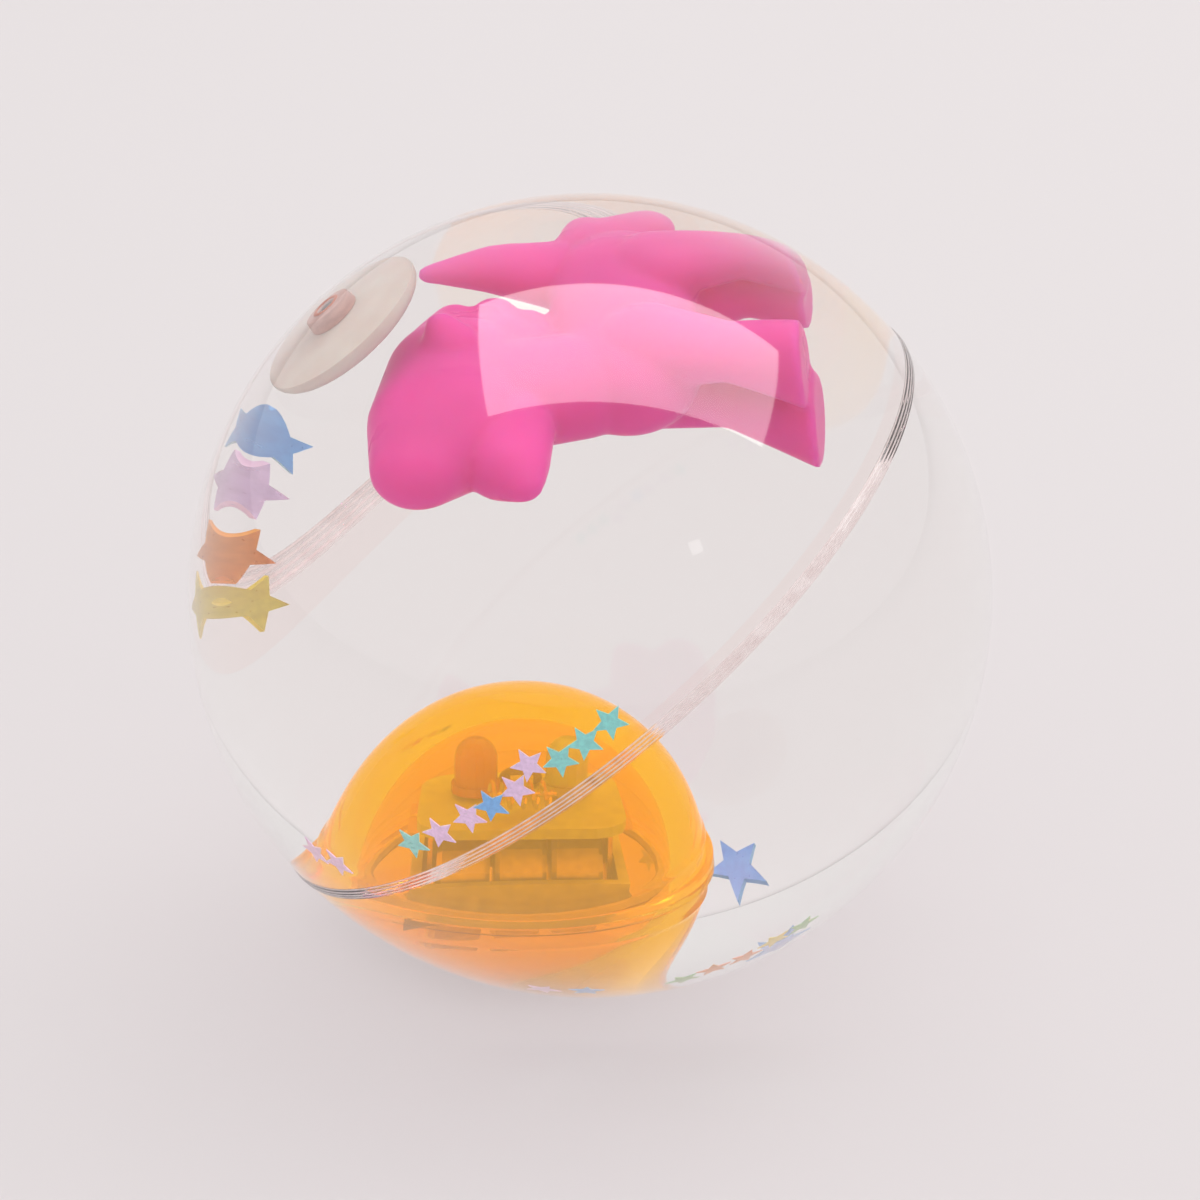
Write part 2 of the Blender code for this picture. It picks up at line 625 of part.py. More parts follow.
def make_capsule():
    pivot = capsule_pivot()
    place = in_capsule()
    make_capsule_shells(pivot, place)
    make_seal_ring(pivot, place)
    make_cells(pivot, place)
    make_battery_holder(pivot, place)
    make_battery_clip(pivot, place, "battery_clip_positive", 1)
    make_battery_clip(pivot, place, "battery_clip_negative", -1)
    make_circuit_board(pivot, place)
    make_led(pivot, place, "led_red", -1, (0.95, 0.25, 0.15))
    make_led(pivot, place, "led_blue", 1, (0.75, 0.85, 1.0))
    make_driver_chip(pivot, place)
    make_resistor(pivot, place)
    make_motion_switch(pivot, place)


# Confetti


def star_form():
    """A flat five-pointed star about the origin, one point up along +Y, its top face at z = 0."""
    form = bmesh.new()
    corners = []
    for step in range(10):
        radius = STAR_DIAMETER / 2 * (STAR_INNER_SHARE if step % 2 else 1.0)
        turn = pi / 2 + pi / 5 * step
        corners.append(form.verts.new((radius * cos(turn), radius * sin(turn), 0.0)))
    face = form.faces.new(corners)
    grown = bmesh.ops.extrude_face_region(form, geom=[face])
    moved = [v for v in grown["geom"] if isinstance(v, bmesh.types.BMVert)]
    bmesh.ops.translate(form, verts=moved, vec=(0, 0, -STAR_THICKNESS))
    return form


def lay_star(number, outward, spin, colour):
    """A star flat inside the wall, where outward points, spun in its plane; every second one lies lower."""
    outward = outward.normalized()
    upward = (SEAM_FRAME.col[2].xyz - outward * outward.dot(SEAM_FRAME.col[2].xyz)).normalized()
    sideways = upward.cross(outward)
    place = Matrix((sideways, upward, outward)).transposed().to_4x4()
    place.translation = outward * (STAR_OUTER_RADIUS - STAR_LAYER * (number % 2))
    spot = place @ Matrix.Rotation(radians(spin), 4, "Z")
    finish = material(f"foil_{colour}", COLOURS[colour], roughness=0.3, metallic=0.2)
    add_object(f"confetti_star_{number:02d}", star_form(), finish, spot, smooth=False)


def seam_direction(azimuth, height):
    """Outwards, at an azimuth about the seam's axis in degrees and a height over its plane in metres."""
    flat = sqrt(STAR_OUTER_RADIUS**2 - height**2)
    turn = radians(azimuth)
    return SEAM_FRAME.to_3x3() @ Vector((flat * cos(turn), flat * sin(turn), height))


def low_direction(azimuth, slope):
    """Outwards, at a world azimuth and an angle up from the bottom of the ball, both in degrees."""
    turn, rise = radians(azimuth), radians(slope)
    return Vector((sin(rise) * cos(turn), sin(rise) * sin(turn), -cos(rise)))


def make_confetti():
    """Stars caught on the weld's ledge, by (azimuth, rows up, spin, colour), then stars on the bottom."""
    row = WELD_HALF + STAR_DIAMETER / 2
    step = STAR_DIAMETER * 0.4
    on_ledge = [
        (-75.8, 0, 6, "teal"),
        (-80.4, 0, -7, "teal"),
        (-85.0, 0, 5, "teal"),
        (-89.0, 1, -8, "lilac"),
        (-93.2, 0, 9, "lilac"),
        (-97.8, 0, -6, "blue"),
        (-102.4, 0, 8, "lilac"),
        (-108.2, 0, -9, "lilac"),
        (-114.2, 0, 7, "teal"),
        (-132.6, 0, 4, "lilac"),
        (-137.4, 1, -6, "lilac"),
        (130.6, 3.1, 5, "lilac"),
        (126.4, 4.0, -12, "blue"),
        (135.6, 1.6, 8, "orange"),
        (138.4, 0, -5, "yellow"),
    ]
    on_bottom = [
        (-47.6, 52.0, 20, "green"),
        (-52.6, 49.4, -14, "yellow"),
        (-57.8, 46.4, 9, "orange"),
        (-63.4, 43.6, 30, "orange"),
        (-69.6, 41.6, -20, "green"),
        (-91.0, 38.4, 12, "blue"),
        (-101.0, 38.8, -8, "lilac"),
        (65.0, 35.0, 16, "blue"),
    ]
    for number, (azimuth, rows, spin, colour) in enumerate(on_ledge, 1):
        lay_star(number, seam_direction(azimuth, row + rows * step), spin, colour)
    for number, (azimuth, slope, spin, colour) in enumerate(on_bottom, len(on_ledge) + 1):
        lay_star(number, low_direction(azimuth, slope), spin, colour)


def main():
    clear_scene()
    make_port_shell()
    make_plain_shell()
    make_seam_weld()
    make_valve_pad()
    make_valve_plug()
    make_seal_pin()
    make_pony()
    make_water()
    make_capsule()
    make_confetti()


main()
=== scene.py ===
"""The looks of a water-filled bouncing ball, as an add-on: a clear welded shell full of water, with a fill
valve, a floating toy pony, a light-up capsule and star confetti.

Metres, +Z up. The ball's centre is at the origin.
"""

import json
from math import acos, asin, atan, cos, pi, radians, sin, sqrt, tan

import bmesh
import bpy
import numpy as np
from bpy.props import FloatProperty, FloatVectorProperty, IntProperty, PointerProperty
from mathutils import Matrix, Vector


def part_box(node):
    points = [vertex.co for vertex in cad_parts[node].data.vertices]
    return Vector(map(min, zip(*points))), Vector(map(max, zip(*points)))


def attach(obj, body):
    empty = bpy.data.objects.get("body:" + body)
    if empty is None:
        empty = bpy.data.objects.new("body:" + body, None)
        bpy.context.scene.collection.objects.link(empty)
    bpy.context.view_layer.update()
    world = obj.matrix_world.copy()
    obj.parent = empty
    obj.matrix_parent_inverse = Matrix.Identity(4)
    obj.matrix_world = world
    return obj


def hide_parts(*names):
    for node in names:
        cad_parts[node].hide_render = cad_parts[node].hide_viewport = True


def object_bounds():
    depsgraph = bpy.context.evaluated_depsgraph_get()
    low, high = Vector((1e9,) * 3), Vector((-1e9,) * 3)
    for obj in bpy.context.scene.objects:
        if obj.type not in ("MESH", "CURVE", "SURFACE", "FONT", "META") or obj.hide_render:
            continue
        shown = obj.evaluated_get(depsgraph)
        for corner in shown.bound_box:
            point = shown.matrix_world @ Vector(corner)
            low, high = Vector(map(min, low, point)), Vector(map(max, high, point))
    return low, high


bl_info = {
    "name": "Water Bouncing Ball",
    "version": (1, 0, 0),
    "blender": (4, 5, 0),
    "location": "View3D > Sidebar > Water Ball",
    "description": "Builds a clear water-filled ball with a pony, a light-up capsule and star confetti",
    "category": "Add Mesh",
}

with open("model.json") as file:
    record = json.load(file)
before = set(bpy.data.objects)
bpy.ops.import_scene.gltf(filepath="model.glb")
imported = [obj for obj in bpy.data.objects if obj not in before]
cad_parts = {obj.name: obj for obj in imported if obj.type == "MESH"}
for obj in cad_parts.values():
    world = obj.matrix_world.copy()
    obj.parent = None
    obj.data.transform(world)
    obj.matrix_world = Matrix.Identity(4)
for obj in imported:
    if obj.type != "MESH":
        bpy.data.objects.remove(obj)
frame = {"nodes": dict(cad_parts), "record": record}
CAD_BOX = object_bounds()
MM = 0.001
TINY = 1e-7


def node_points(name):
    """The corners of a node's mesh, one row each."""
    mesh = frame["nodes"][name].data
    points = np.empty(3 * len(mesh.vertices))
    mesh.vertices.foreach_get("co", points)
    return points.reshape(-1, 3)


def seam_axis():
    """The weld ring's axis, pointing to the fill valve."""
    ring = node_points("seam_weld")
    axis = Vector(np.linalg.svd(ring - ring.mean(axis=0), full_matrices=False)[2][2])
    plug = Vector(node_points("valve_plug").mean(axis=0))
    return axis if axis.dot(plug) > 0 else -axis


def radii(name):
    """A node's least and greatest distance from the ball's centre."""
    lengths = np.linalg.norm(node_points(name), axis=1)
    return float(lengths.min()), float(lengths.max())


def middle(name):
    low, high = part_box(name)
    return (low + high) / 2


AXIS = seam_axis()
AXIS_TURN = AXIS.to_track_quat("Z", "Y").to_matrix().to_4x4()
CAVITY, BALL = radii("port_shell")
LEDGE = radii("seam_weld")[0]
PAD_FACE_SHARE = 0.62
RIM_GAP = 0.15 * MM
RIM = Vector((*middle("capsule_dome").xy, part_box("capsule_dome")[0].z - RIM_GAP))


class BallSizes(bpy.types.PropertyGroup):
    """Fine sizes of the shell, the weld, the valve and the capsule."""

    bead_width: FloatProperty(
        name="Bead Width", description="Width of the weld bead", default=1.3 * MM, unit="LENGTH"
    )
    bead_rise: FloatProperty(
        name="Bead Rise", description="How far the bead stands proud", default=0.12 * MM, unit="LENGTH"
    )
    film: FloatProperty(
        name="Film", description="Gap between pieces that touch", default=0.05 * MM, unit="LENGTH"
    )
    plug_radius: FloatProperty(
        name="Plug Radius", description="Radius of the port's plug", default=2.35 * MM, unit="LENGTH"
    )
    hole_radius: FloatProperty(
        name="Hole Radius", description="Radius of the hole in the plug", default=0.75 * MM, unit="LENGTH"
    )
    pin_radius: FloatProperty(
        name="Pin Radius", description="Radius of the sealing pin", default=0.55 * MM, unit="LENGTH"
    )
    capsule_wall: FloatProperty(
        name="Capsule Wall", description="Thickness of the capsule's plastic", default=1.0 * MM, unit="LENGTH"
    )
    flange_width: FloatProperty(
        name="Flange Width", description="How far the rim stands out", default=0.4 * MM, unit="LENGTH"
    )
    ridge_rise: FloatProperty(
        name="Ridge Rise", description="Height of the ridge by the rim", default=0.15 * MM, unit="LENGTH"
    )
    steps: IntProperty(name="Round Steps", description="Facets round a large turned piece", default=192)
    small_steps: IntProperty(name="Small Round Steps", description="Facets round a small piece", default=64)


class BallColours(bpy.types.PropertyGroup):
    """Colours of the coloured pieces and of the floor."""

    pony: FloatVectorProperty(
        name="Pony", description="Pony plastic", subtype="COLOR", default=(0.76, 0.075, 0.33)
    )
    amber: FloatVectorProperty(
        name="Amber", description="Capsule plastic", subtype="COLOR", default=(1.0, 0.55, 0.01)
    )
    pad: FloatVectorProperty(
        name="Pad", description="Valve pad rubber", subtype="COLOR", default=(1.0, 0.80, 0.72)
    )
    floor: FloatVectorProperty(
        name="Floor", description="Studio floor", subtype="COLOR", default=(0.68, 0.652, 0.656)
    )


# Materials


class Finish:
    """A node material with short calls for the nodes it adds."""

    def __init__(self, name, colour, roughness=0.4, metallic=0.0, **sockets):
        self.material = bpy.data.materials.new(name)
        self.material.use_nodes = True
        self.nodes = self.material.node_tree.nodes
        self.shader = self.nodes["Principled BSDF"]
        self.shader.inputs["Base Color"].default_value = (*colour, 1.0)
        self.shader.inputs["Roughness"].default_value = roughness
        self.shader.inputs["Metallic"].default_value = metallic
        for socket, value in sockets.items():
            self.shader.inputs[socket.replace("_", " ")].default_value = value

    def link(self, start, end):
        self.material.node_tree.links.new(start, end)

    def node(self, kind, **settings):
        made = self.nodes.new(kind)
        for key, value in settings.items():
            setattr(made, key, value)
        return made

    def noise(self, scale, detail=3.0):
        """A noise texture on the object's own coordinates, at a scale in waves per metre."""
        place = self.node("ShaderNodeTexCoord")
        texture = self.node("ShaderNodeTexNoise")
        texture.inputs["Scale"].default_value = scale
        texture.inputs["Detail"].default_value = detail
        self.link(place.outputs["Object"], texture.inputs["Vector"])
        return texture.outputs["Fac"]

    def ramp(self, value, stops):
        """Colours the piece by value, through stops of (position, colour)."""
        ramp = self.node("ShaderNodeValToRGB")
        for element, (position, colour) in zip(ramp.color_ramp.elements, stops):
            element.position = position
            element.color = (*colour, 1.0)
        self.link(value, ramp.inputs["Fac"])
        self.link(ramp.outputs["Color"], self.shader.inputs["Base Color"])

    def spread(self, value, low, high, socket="Roughness"):
        """Sends value, from 0 to 1, to a socket as low to high."""
        span = self.node("ShaderNodeMapRange")
        span.inputs["To Min"].default_value = low
        span.inputs["To Max"].default_value = high
        self.link(value, span.inputs["Value"])
        self.link(span.outputs["Result"], self.shader.inputs[socket])

    def bump(self, value, depth, strength):
        """Raises the surface by value, from 0 to 1, to a depth in metres."""
        bump = self.node("ShaderNodeBump")
        bump.inputs["Strength"].default_value = strength
        bump.inputs["Distance"].default_value = depth
        self.link(value, bump.inputs["Height"])
        self.link(bump.outputs["Normal"], self.shader.inputs["Normal"])


def shade(colour, share):
    """A colour made darker or lighter."""
    return tuple(min(1.0, channel * share) for channel in colour)


def clear_outside():
    """The shell's outside: glossy soft plastic with the faintest ripple and handling haze."""
    clear = {"Transmission_Weight": 1.0, "IOR": 1.33}
    gloss = {"Coat_Weight": 1.0, "Coat_IOR": 1.52, "Coat_Roughness": 0.045}
    made = Finish("clear_shell_outside", (0.985, 0.974, 0.958), 0.0, **clear, **gloss)
    made.spread(made.noise(60, 2.0), 0.0, 0.015)
    made.bump(made.noise(45, 1.0), 0.02 * MM, 0.15)
    return made.material


def clear_inside(name="clear_inside", colour=(1.0, 1.0, 1.0)):
    """A face between the shell and the water, which light crosses almost unbent."""
    made = Finish(name, colour, 0.0, Transmission_Weight=1.0, IOR=1.0)
    made.ramp(made.noise(20, 1.0), ((0.0, shade(colour, 0.995)), (1.0, colour)))
    return made.material


def weld_finish(width):
    """The weld bead: clear, with a pinkish cast and four fine milky lines drawn round the seam."""
    made = Finish("weld_bead", (0.98, 0.93, 0.92), 0.06, IOR=1.1, Coat_Weight=1.0)
    place = made.node("ShaderNodeTexCoord")
    height = made.node("ShaderNodeVectorMath", operation="DOT_PRODUCT")
    height.inputs[1].default_value = AXIS * 2 * pi * 4 / width
    made.link(place.outputs["Object"], height.inputs[0])
    waves = made.node("ShaderNodeMath", operation="SINE")
    made.link(height.outputs["Value"], waves.inputs[0])
    lines = made.node("ShaderNodeMath", operation="MULTIPLY_ADD")
    lines.inputs[1].default_value = lines.inputs[2].default_value = 0.5
    made.link(waves.outputs["Value"], lines.inputs[0])
    made.spread(lines.outputs["Value"], 0.25, 0.95, "Transmission Weight")
    made.ramp(made.noise(900, 2.0), ((0.3, (0.86, 0.72, 0.70)), (0.7, (0.99, 0.89, 0.87))))
    made.spread(made.noise(500, 2.0), 0.05, 0.2)
    return made.material


def pad_finish(colour):
    """Soft beige rubber, cloudy all through."""
    made = Finish("valve_pad_rubber", colour, 0.35, Transmission_Weight=0.45, IOR=1.05, Subsurface_Weight=0.5)
    made.shader.inputs["Subsurface Radius"].default_value = (4 * MM, 2.5 * MM, 2 * MM)
    made.ramp(made.noise(260, 4.0), ((0.3, shade(colour, 0.92)), (0.7, shade(colour, 1.08))))
    made.bump(made.noise(900), 0.03 * MM, 0.3)
    return made.material


def plug_finish():
    """Reddish rubber with a fine grain."""
    made = Finish("valve_plug_rubber", (0.55, 0.25, 0.20), 0.4)
    made.ramp(made.noise(900), ((0.3, (0.47, 0.20, 0.16)), (0.7, (0.62, 0.31, 0.25))))
    made.bump(made.noise(2500, 2.0), 0.01 * MM, 0.3)
    return made.material


def pin_finish():
    """Near-black rubber."""
    made = Finish("seal_pin_rubber", (0.05, 0.03, 0.03), 0.45)
    made.ramp(made.noise(2000), ((0.3, (0.04, 0.02, 0.02)), (0.7, (0.08, 0.05, 0.05))))
    return made.material


def pony_finish(colour):
    """Translucent moulded plastic: cloudy colour, soft light through it, a faint moulded skin."""
    made = Finish("pony_plastic", colour, 0.28, IOR=1.12, Subsurface_Weight=0.7, Subsurface_Scale=1.0)
    made.shader.inputs["Subsurface Radius"].default_value = (6 * MM, 1.2 * MM, 3 * MM)
    made.ramp(made.noise(90, 3.0), ((0.25, shade(colour, 0.88)), (0.75, shade(colour, 1.12))))
    made.spread(made.noise(200), 0.22, 0.36)
    made.bump(made.noise(700), 0.02 * MM, 0.25)
    return made.material


def amber_finish(name, colour, ior, transmission, roughness=0.03):
    """Amber plastic: see-through over a body colour, with a faint painted orange glow (a weak emission)
    standing in for the light that it scatters.
    """
    # Emission_Strength here is a painted glow: the amber plastic is no lamp, and this orange emission stands
    # in for light it scatters.
    made = Finish(name, colour, roughness, Transmission_Weight=transmission, IOR=ior, Emission_Strength=0.1)
    made.ramp(made.noise(70, 2.0), ((0.2, shade(colour, 0.93)), (0.8, shade(colour, 1.05))))
    made.spread(made.noise(240), roughness * 0.7, roughness * 1.4)
    made.bump(made.noise(150, 2.0), 0.03 * MM, 0.2)
    made.shader.inputs["Emission Color"].default_value = (1.0, 0.42, 0.0, 1.0)
    return made.material


def metal_finish(name, colour, roughness, scale=1500):
    """Worn bright metal."""
    made = Finish(name, colour, roughness, 1.0)
    made.ramp(made.noise(scale, 4.0), ((0.3, shade(colour, 0.85)), (0.7, shade(colour, 1.1))))
    made.spread(made.noise(scale / 3), roughness * 0.7, roughness * 1.5)
    made.bump(made.noise(scale, 2.0), 0.005 * MM, 0.3)
    return made.material


def plain_finish(name, colour, roughness, scale=900, **sockets):
    """Plastic, rubber or resin with a fine grain."""
    made = Finish(name, colour, roughness, **sockets)
    made.ramp(made.noise(scale, 4.0), ((0.3, shade(colour, 0.85)), (0.7, shade(colour, 1.12))))
    made.spread(made.noise(scale / 2), roughness * 0.8, min(1.0, roughness * 1.25))
    made.bump(made.noise(scale * 2, 2.0), 0.01 * MM, 0.3)
    return made.material


def star_finish(name, colour):
    """Pearly film, printed on the side that lies on the shell and dull and see-through on the other."""
    pearl = {"Coat_Weight": 0.5, "Thin_Film_Thickness": 380.0, "Thin_Film_IOR": 1.5}
    made = Finish(name, colour, 0.3, 0.1, IOR=1.1, **pearl)
    made.ramp(made.noise(2600, 2.0), ((0.3, shade(colour, 0.92)), (0.7, shade(colour, 1.15))))
    made.spread(made.noise(4000, 1.0), 0.2, 0.45)
    place = made.node("ShaderNodeTexCoord")
    facing = made.node("ShaderNodeVectorMath", operation="DOT_PRODUCT")
    made.link(place.outputs["Object"], facing.inputs[0])
    made.link(place.outputs["Normal"], facing.inputs[1])
    inner = made.node("ShaderNodeMath", operation="LESS_THAN")
    inner.inputs[1].default_value = 0.0
    made.link(facing.outputs["Value"], inner.inputs[0])
    made.spread(inner.outputs["Value"], 0.0, 0.84, "Transmission Weight")
    return made.material


# Modelling by hand


def active():
    return bpy.context.view_layer.objects.active


def deselect():
    if bpy.context.mode != "OBJECT":
        bpy.ops.object.mode_set(mode="OBJECT")
    bpy.ops.object.select_all(action="DESELECT")


def pick(obj):
    deselect()
    obj.select_set(True)
    bpy.context.view_layer.objects.active = obj


def edit():
    """Opens the active object for editing, all of it selected."""
    bpy.ops.object.mode_set(mode="EDIT")
    bpy.ops.mesh.select_all(action="SELECT")


def apply_modifiers(obj):
    pick(obj)
    for modifier in list(obj.modifiers):
        bpy.ops.object.modifier_apply(modifier=modifier.name)


def settle(obj, name, turn=None):
    """Names a finished piece and puts its place into its mesh."""
    pick(obj)
    obj.name = obj.data.name = name
    if turn is not None:
        obj.matrix_world = turn @ obj.matrix_world
    bpy.ops.object.transform_apply(location=True, rotation=True, scale=True)
    return obj


def outwards(obj):
    """Merges points that meet and turns every face outwards."""
    pick(obj)
    edit()
    bpy.ops.mesh.remove_doubles(threshold=TINY)
    bpy.ops.mesh.normals_make_consistent(inside=False)
    bpy.ops.object.mode_set(mode="OBJECT")


def smooth(obj, angle):
    """Shades smooth, with an edge wherever the surface turns by more than the angle in degrees."""
    pick(obj)
    bpy.ops.object.shade_smooth_by_angle(angle=radians(angle))


def arc(radius, start, end, steps, height=None):
    """Points (r, z) of an arc from one angle to another from the +Z pole, squashed to a height if given."""
    height = radius if height is None else height
    turns = [start + (end - start) * step / steps for step in range(steps + 1)]
    return [(radius * sin(turn), height * cos(turn)) for turn in turns]


def turn_profile(name, profile, steps, place=None):
    """Turns an outline of (r, z) points about Z: a ring of edges is extruded, scaled and moved from point to
    point. An outline that starts and ends on the axis closes in poles, and any other is bridged to a ring.
    """
    deselect()
    poled = profile[0][0] < TINY
    outline = profile[1:-1] if poled else profile
    radius, height = outline[0]
    bpy.ops.mesh.primitive_circle_add(vertices=steps, radius=radius, location=(0, 0, height))
    obj = active()
    bpy.ops.object.transform_apply(location=True, rotation=True, scale=True)
    edit()
    bpy.context.tool_settings.mesh_select_mode = (False, True, False)
    if poled:
        cap(obj, profile[0][1] - height)
    for (r, z), (next_r, next_z) in zip(outline, outline[1:]):
        bpy.ops.mesh.extrude_edges_move(TRANSFORM_OT_translate={"value": (0, 0, next_z - z)})
        share = next_r / r
        bpy.ops.transform.resize(value=(share, share, 1.0), center_override=(0, 0, 0))
    if poled:
        cap(obj, profile[-1][1] - outline[-1][1])
    else:
        close_ring(obj)
    bpy.ops.object.mode_set(mode="OBJECT")
    outwards(obj)
    return settle(obj, name, place)


def cap(obj, rise):
    """Closes the selected ring with a fan to a pole on the axis, and leaves the ring selected."""
    bpy.ops.mesh.extrude_edges_move(TRANSFORM_OT_translate={"value": (0, 0, rise)})
    bpy.ops.mesh.merge(type="CENTER")
    bpy.ops.mesh.select_all(action="DESELECT")
    select_open_edges(obj)


def select_open_edges(obj):
    form = bmesh.from_edit_mesh(obj.data)
    for edge in form.edges:
        edge.select = edge.is_boundary
    form.select_flush_mode()
    bmesh.update_edit_mesh(obj.data)


def close_ring(obj):
    """Bridges the two open ends of a turned outline."""
    bpy.ops.mesh.select_all(action="DESELECT")
    select_open_edges(obj)
    bpy.ops.mesh.bridge_edge_loops()


def set_material(obj, *materials):
    obj.data.materials.clear()
    for material in materials:
        obj.data.materials.append(material)


def give_faces(obj, slot, wanted):
    """Gives a material slot to each face that wanted(centre, normal) accepts."""
    for face in obj.data.polygons:
        if wanted(face.center, face.normal):
            face.material_index = slot


def finish_piece(obj, body, node, clear=False):
    """Parents a finished piece to the empty of the body it rides with and hides the CAD part it stands for;
    light goes straight through a clear one.
    """
    obj.visible_shadow = obj.visible_diffuse = not clear
    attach(obj, body)
    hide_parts(node)


# Shell, weld, valve and water


def pad_rim():
    """The valve pad's radius about the seam's axis."""
    return float(np.linalg.norm(np.cross(node_points("valve_pad"), AXIS), axis=1).max())


def half_shell(name, above, sizes):
    """A half of the clear shell: a sphere bisected at the weld's edge, given its wall by Solidify."""
    deselect()
    steps = sizes.steps
    bpy.ops.mesh.primitive_uv_sphere_add(segments=steps, ring_count=steps // 2, radius=BALL)
    obj = active()
    edit()
    edge = sizes.bead_width / 2 + sizes.film / 5
    level = edge if above else -edge
    bpy.ops.mesh.bisect(plane_co=(0, 0, level), plane_no=(0, 0, 1), clear_inner=above, clear_outer=not above)
    if above:
        edit()
        port = sizes.plug_radius + 3 * sizes.film
        bpy.ops.mesh.bisect(plane_co=(0, 0, sqrt(BALL**2 - port**2)), plane_no=(0, 0, 1), clear_outer=True)
    bpy.ops.object.mode_set(mode="OBJECT")
    wall = obj.modifiers.new("wall", "SOLIDIFY")
    wall.thickness = BALL - CAVITY
    wall.offset = -1.0
    wall.material_offset = 1
    wall.material_offset_rim = 1
    wall.use_even_offset = False
    set_material(obj, clear_outside(), clear_inside())
    apply_modifiers(obj)
    smooth(obj, 40)
    return settle(obj, name, AXIS_TURN)


class WATERBALL_OT_shell(bpy.types.Operator):
    """Build the two halves of the clear shell"""

    bl_idname = "waterball.shell"
    bl_label = "Clear Shell"

    def execute(self, context):
        sizes = context.scene.ball_sizes
        halves = (("clear_port_half", "port_shell", True), ("clear_plain_half", "plain_shell", False))
        for name, node, above in halves:
            finish_piece(half_shell(name, above, sizes), "ball", node, clear=True)
        return {"FINISHED"}


class WATERBALL_OT_weld(bpy.types.Operator):
    """Build the weld bead with its grooves outside and its ledge inside"""

    bl_idname = "waterball.weld"
    bl_label = "Weld Bead"

    def execute(self, context):
        sizes = context.scene.ball_sizes
        half = sizes.bead_width / 2
        groove = sizes.bead_rise / 3
        shares = np.linspace(-1.0, 1.0, 41)
        swells = sizes.bead_rise * (1 - shares**2) - groove * (1 - np.cos(shares * 4 * pi)) / 2
        outside = [(BALL + swell, share * half) for share, swell in zip(shares, swells)]
        shoulder = LEDGE + 0.25 * MM
        wide, narrow = half * 0.8, half * 0.35
        inside = [(shoulder, wide), (LEDGE, narrow), (LEDGE, -narrow), (shoulder, -wide)]
        obj = turn_profile("weld_bead_ring", outside + inside, 2 * sizes.steps, AXIS_TURN)
        smooth(obj, 60)
        set_material(obj, weld_finish(sizes.bead_width), clear_inside("clear_weld_inside", (1.0, 0.95, 0.94)))
        give_faces(obj, 1, lambda centre, normal: centre.length < BALL - 0.2 * MM)
        finish_piece(obj, "ball", "seam_weld", clear=True)
        return {"FINISHED"}


class WATERBALL_OT_valve(bpy.types.Operator):
    """Build the self-sealing pad, the port's plug and its pin"""

    bl_idname = "waterball.valve"
    bl_label = "Fill Valve"

    def execute(self, context):
        sizes = context.scene.ball_sizes
        low = radii("valve_pad")[0]
        rim = pad_rim()
        top = CAVITY - sizes.film
        profile = arc(top, 0.0, asin(rim / top), 24)
        edge = profile[-1][1]
        for turn in np.linspace(0, pi / 2, 17)[1:]:
            share = PAD_FACE_SHARE + (1 - PAD_FACE_SHARE) * cos(turn) ** 0.7
            profile.append((rim * share, edge - (edge - low) * sin(turn)))
        profile.append((0.0, low))
        pad = turn_profile("sealing_pad", profile, 2 * sizes.small_steps, AXIS_TURN)
        smooth(pad, 50)
        set_material(pad, pad_finish(context.scene.ball_colours.pad))
        finish_piece(pad, "ball", "valve_pad")
        plug = turn_profile("port_plug", self.plug_outline(sizes), sizes.small_steps, AXIS_TURN)
        smooth(plug, 50)
        set_material(plug, plug_finish())
        finish_piece(plug, "ball", "valve_plug")
        pin = turn_profile("port_pin", self.pin_outline(sizes), sizes.small_steps, AXIS_TURN)
        smooth(pin, 50)
        set_material(pin, pin_finish())
        finish_piece(pin, "ball", "seal_pin")
        return {"FINISHED"}

    def plug_outline(self, sizes):
        """A plug with a raised lip round its pin hole."""
        radius, hole = sizes.plug_radius, sizes.hole_radius
        rim = BALL - 0.25 * MM
        soft = 0.25 * MM
        bottom = rim - 2.6 * MM
        lip_middle, lip_half, lip_rise = hole + 0.45 * MM, 0.35 * MM, 0.3 * MM
        turns = np.linspace(pi, 0.2, 9)
        lip = [(lip_middle + lip_half * cos(a), rim + lip_rise * sin(a)) for a in turns]
        turns = np.linspace(0, pi / 2, 6)
        shoulder = [(radius - soft + soft * sin(a), rim - 0.3 * MM + soft * cos(a)) for a in turns]
        outline = [(0.0, bottom), (hole, bottom), (hole, rim - 0.1 * MM)]
        return outline + lip + shoulder + [(radius, CAVITY), (0.0, CAVITY)]

    def pin_outline(self, sizes):
        """A pin with a domed head."""
        low, high = radii("seal_pin")
        radius, dome = sizes.pin_radius, 0.25 * MM
        top = high - sizes.film
        head = [(radius * sin(a), top - dome * (1 - cos(a))) for a in np.linspace(0, pi / 2, 8)]
        return head + [(radius, low), (0.0, low)]


class WATERBALL_OT_water(bpy.types.Operator):
    """Build the water that fills the cavity, with the hollow for the valve pad"""

    bl_idname = "waterball.water"
    bl_label = "Water"

    def execute(self, context):
        sizes = context.scene.ball_sizes
        film = sizes.film
        outside = CAVITY - film
        low = radii("valve_pad")[0] - 2 * film
        rim = pad_rim() + film
        half = sizes.bead_width / 2 + film
        top = asin(rim / outside)
        ledge = acos(half / outside)
        profile = [(0.0, low), (rim * PAD_FACE_SHARE, low), (rim, sqrt(outside**2 - rim**2))]
        profile += arc(outside, top, ledge, 60)[1:]
        profile += [(LEDGE - film, half * 0.6), (LEDGE - film, -half * 0.6)]
        profile += arc(outside, pi - ledge, pi, 66)
        obj = turn_profile("water_body", profile, sizes.steps, AXIS_TURN)
        smooth(obj, 40)
        set_material(obj, clear_inside("clear_water", (0.995, 1.0, 1.0)))
        finish_piece(obj, "ball", "water_fill", clear=True)
        return {"FINISHED"}


# Pony


PONY_MIDDLE = Vector((1.0 * MM, 1.3 * MM, middle("pony").z))
PONY_FLATNESS = 0.75
